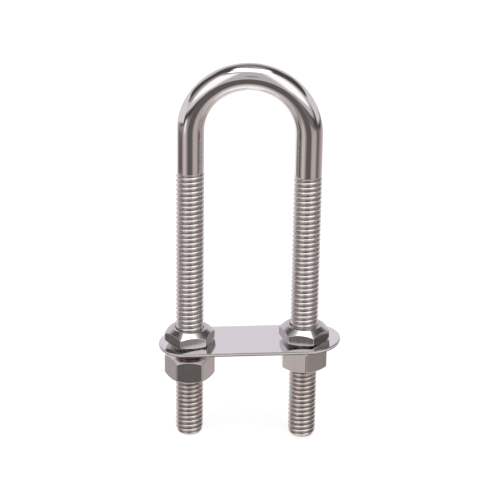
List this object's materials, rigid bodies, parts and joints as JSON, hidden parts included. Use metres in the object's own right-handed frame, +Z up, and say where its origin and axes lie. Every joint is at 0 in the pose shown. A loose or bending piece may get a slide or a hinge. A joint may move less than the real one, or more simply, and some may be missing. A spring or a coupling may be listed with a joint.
{
  "type": "pad eye u-bolt with plate and nuts",
  "caption": "Stainless U-bolt pad eye: a round rod bent to an eye, its threaded legs through an obround plate with hexagon nuts above and below it, for bolting through a deck.",
  "frame": {"origin": "the deck line: the plate's underside, midway between the two legs", "axes": "+Z up along the legs towards the bend, +X from the left leg to the right leg, +Y through the eye away from the viewer"},
  "size_m": [0.0521, 0.018, 0.114],
  "materials": {
    "polished_rod": "mirror-polished stainless rod, with bright rolled threads on both legs",
    "plate_steel": "smooth cold-rolled stainless sheet with a soft sheen",
    "nut_steel": "satin stainless with turned bevels"
  },
  "bodies": {
    "u_bolt": {"u_bolt": "polished_rod"},
    "plate": {"plate": "plate_steel"},
    "upper_nut_left": {"upper_nut_left": "nut_steel"},
    "upper_nut_right": {"upper_nut_right": "nut_steel"},
    "lower_nut_left": {"lower_nut_left": "nut_steel"},
    "lower_nut_right": {"lower_nut_right": "nut_steel"}
  },
  "joints": [
    {"name": "plate_slide", "type": "slide", "parent": "u_bolt", "child": "plate", "axis": [0, 0, 1], "range_m": [0, 0.04233]},
    {"name": "upper_nut_left_turn", "type": "hinge", "parent": "plate", "child": "upper_nut_left", "pos_m": [-0.0164, 0, 0.0025], "axis": [0, 0, 1], "range_deg": [0, 10800]},
    {"name": "upper_nut_right_turn", "type": "hinge", "parent": "plate", "child": "upper_nut_right", "pos_m": [0.0164, 0, 0.0045], "axis": [0, 0, 1], "range_deg": [0, 10800]},
    {"name": "lower_nut_left_slide", "type": "slide", "parent": "u_bolt", "child": "lower_nut_left", "axis": [0, 0, 1], "range_m": [-0.0184, 0]},
    {"name": "lower_nut_right_slide", "type": "slide", "parent": "u_bolt", "child": "lower_nut_right", "axis": [0, 0, 1], "range_m": [-0.0225, 0]}
  ],
  "couplings": [
    {"joint": "upper_nut_left_turn", "follows": "plate_slide", "rad_per_m": 4452.7},
    {"joint": "upper_nut_right_turn", "follows": "plate_slide", "rad_per_m": 4452.7}
  ]
}
